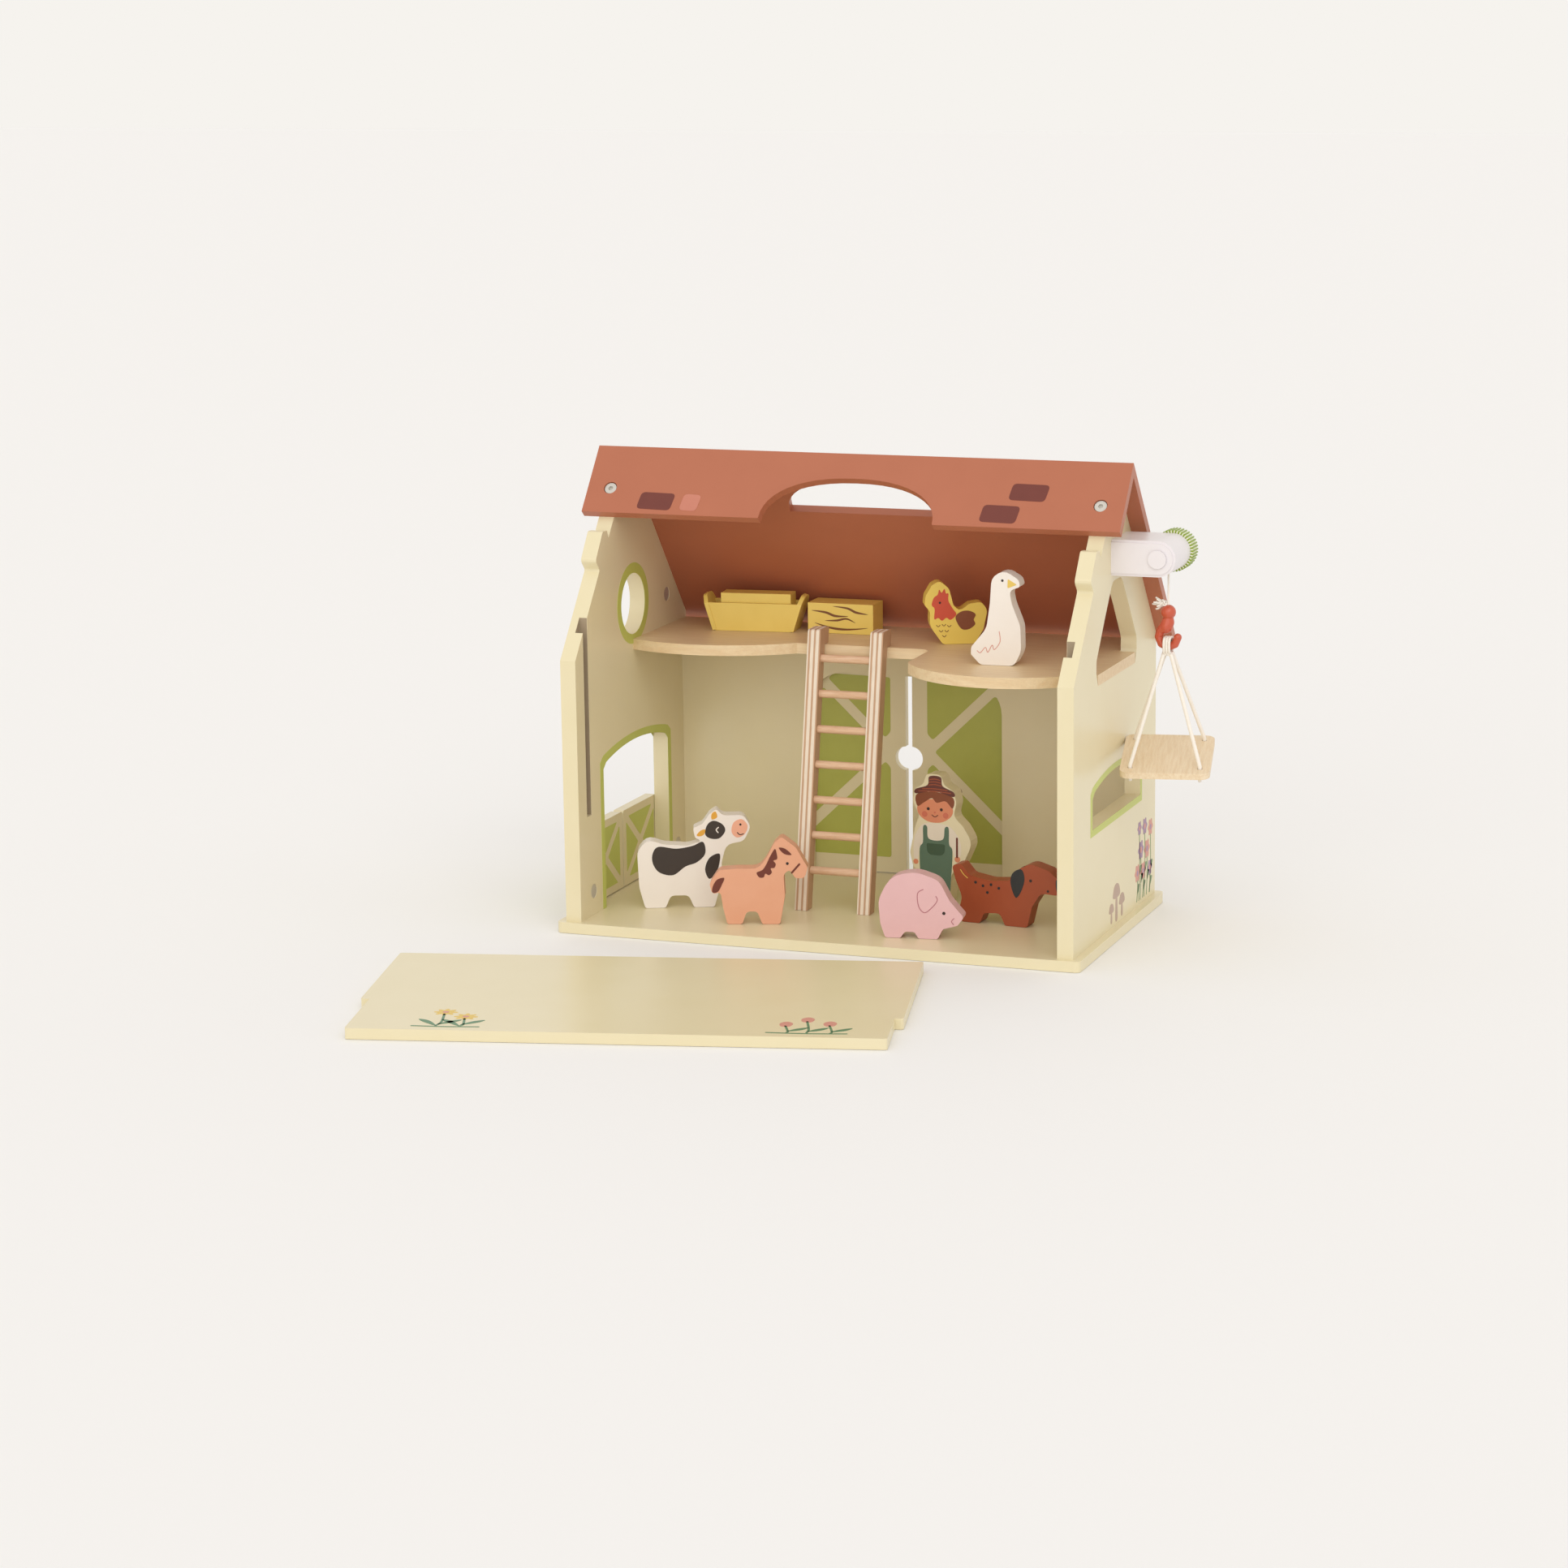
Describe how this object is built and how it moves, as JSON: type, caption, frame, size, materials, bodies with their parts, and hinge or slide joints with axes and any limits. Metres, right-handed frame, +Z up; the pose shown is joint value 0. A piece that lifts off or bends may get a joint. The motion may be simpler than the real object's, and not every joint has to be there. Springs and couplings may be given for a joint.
{
  "type": "toy barn",
  "caption": "Wooden play barn with hinged rear doors and half gates, hay loft, ladder, cord winch with swing, lift-out front panel and loose farm pieces",
  "frame": {"origin": "middle of the base board's underside", "axes": "+X to the winch side, +Y to the rear doors, +Z up"},
  "size_m": [0.4069, 0.4117, 0.2614],
  "materials": {
    "cream_board": "cream lacquer on fibreboard",
    "bare_wood": "clear matt lacquer",
    "roof_wood": "terracotta stain, matt",
    "zinc_steel": "zinc plated",
    "brassed_steel": "brass plated",
    "green_door": "satin paint",
    "plywood": "clear matt lacquer",
    "white_plastic": "moulded, satin",
    "green_plastic": "moulded, satin",
    "orange_plastic": "moulded, glossy",
    "white_cord": "braided cotton",
    "yellow_paint": "satin paint on wood",
    "white_paint": "satin paint on wood",
    "tan_paint": "satin paint on wood",
    "pink_paint": "satin paint on wood",
    "brown_paint": "satin paint on wood",
    "green_paint": "satin paint on wood"
  },
  "bodies": {
    "barn": {"base_board": "cream_board", "left_wall": "cream_board", "right_wall": "cream_board", "back_wall": "cream_board", "loft_floor": "bare_wood", "front_roof": "roof_wood", "rear_roof": "roof_wood", "roof_bolts": "zinc_steel", "barrel_nuts": "zinc_steel", "base_bolts": "zinc_steel", "back_wall_screws": "zinc_steel", "door_hinge_plates": "brassed_steel", "door_hinge_pins": "zinc_steel", "gate_hinge_plates": "brassed_steel", "gate_hinge_pins": "zinc_steel", "winch_housing": "white_plastic", "winch_screws": "zinc_steel"},
    "rear_door_left": {"back_door_left": "green_door", "door_hinge_wing_left": "brassed_steel"},
    "rear_door_right": {"back_door_right": "green_door", "door_hinge_wing_right": "brassed_steel"},
    "front_gate_leaf": {"gate_front": "green_door", "gate_hinge_wing_front": "brassed_steel"},
    "rear_gate_leaf": {"gate_rear": "green_door", "gate_hinge_wing_rear": "brassed_steel"},
    "winch_drum": {"winch_axle": "white_plastic", "winch_knob": "green_plastic", "cord_winding": "white_cord"},
    "hoist": {"hoist_cord": "white_cord", "cord_knot": "white_cord", "hook": "orange_plastic"},
    "swing": {"swing_strap": "white_cord", "swing_cords": "white_cord", "swing_knots": "white_cord", "swing_seat": "bare_wood"},
    "lift_out_panel": {"front_panel": "cream_board"},
    "ladder": {"ladder_rail_left": "plywood", "ladder_rail_right": "plywood", "ladder_rungs": "bare_wood"},
    "hay_trough": {"trough": "yellow_paint", "trough_hay": "yellow_paint"},
    "bale": {"hay_bale": "yellow_paint"},
    "cow_piece": {"cow": "white_paint"},
    "horse_piece": {"horse": "tan_paint"},
    "pig_piece": {"pig": "pink_paint"},
    "dog_piece": {"dog": "brown_paint"},
    "hen_piece": {"hen": "yellow_paint"},
    "goose_piece": {"goose": "white_paint"},
    "farmer_piece": {"farmer": "green_paint"}
  },
  "joints": [
    {"name": "rear_door_left_hinge", "type": "hinge", "parent": "barn", "child": "rear_door_left", "pos_m": [-0.0638, 0.0824, 0.062], "axis": [0, 0, 1], "range_deg": [0, 105]},
    {"name": "rear_door_right_hinge", "type": "hinge", "parent": "barn", "child": "rear_door_right", "pos_m": [0.0638, 0.0824, 0.062], "axis": [0, 0, -1], "range_deg": [0, 105]},
    {"name": "front_gate_hinge", "type": "hinge", "parent": "barn", "child": "front_gate_leaf", "pos_m": [-0.1479, -0.0508, 0.0285], "axis": [0, 0, 1], "range_deg": [0, 105]},
    {"name": "rear_gate_hinge", "type": "hinge", "parent": "barn", "child": "rear_gate_leaf", "pos_m": [-0.1479, 0.0548, 0.0285], "axis": [0, 0, -1], "range_deg": [0, 105]},
    {"name": "winch_turn", "type": "hinge", "parent": "barn", "child": "winch_drum", "pos_m": [0.1722, 0.0046, 0.2116], "axis": [0, -1, 0], "range_deg": [-1535, 164]},
    {"name": "hoist_run", "type": "slide", "parent": "barn", "child": "hoist", "axis": [0, 0, 1], "range_m": [-0.0752, 0.0081], "deforming": ["hoist_cord"]},
    {"name": "swing_sway", "type": "hinge", "parent": "hoist", "child": "swing", "pos_m": [0.175, 0.0016, 0.1623], "axis": [1, 0, 0], "range_deg": [-20, 20]},
    {"name": "panel_lift", "type": "slide", "parent": "barn", "child": "lift_out_panel", "axis": [0, 0, 1], "range_m": [0, 0.05]},
    {"name": "ladder_lift", "type": "slide", "parent": "barn", "child": "ladder", "axis": [0, 0, 1], "range_m": [0, 0.03]},
    {"name": "cow_lift", "type": "slide", "parent": "barn", "child": "cow_piece", "axis": [0, 0, 1], "range_m": [0, 0.05]},
    {"name": "horse_lift", "type": "slide", "parent": "barn", "child": "horse_piece", "axis": [0, 0, 1], "range_m": [0, 0.05]},
    {"name": "pig_lift", "type": "slide", "parent": "barn", "child": "pig_piece", "axis": [0, 0, 1], "range_m": [0, 0.05]},
    {"name": "dog_lift", "type": "slide", "parent": "barn", "child": "dog_piece", "axis": [0, 0, 1], "range_m": [0, 0.05]},
    {"name": "farmer_lift", "type": "slide", "parent": "barn", "child": "farmer_piece", "axis": [0, 0, 1], "range_m": [0, 0.05]},
    {"name": "trough_lift", "type": "slide", "parent": "barn", "child": "hay_trough", "axis": [0, -0.8, 0.6], "range_m": [0, 0.04]},
    {"name": "bale_lift", "type": "slide", "parent": "barn", "child": "bale", "axis": [0, -0.8, 0.6], "range_m": [0, 0.03]},
    {"name": "hen_lift", "type": "slide", "parent": "barn", "child": "hen_piece", "axis": [0, -0.8, 0.6], "range_m": [0, 0.04]},
    {"name": "goose_lift", "type": "slide", "parent": "barn", "child": "goose_piece", "axis": [0, -0.8, 0.6], "range_m": [0, 0.03]}
  ],
  "couplings": [
    {"joint": "hoist_run", "follows": "winch_turn", "m_per_rad": 0.0028}
  ]
}
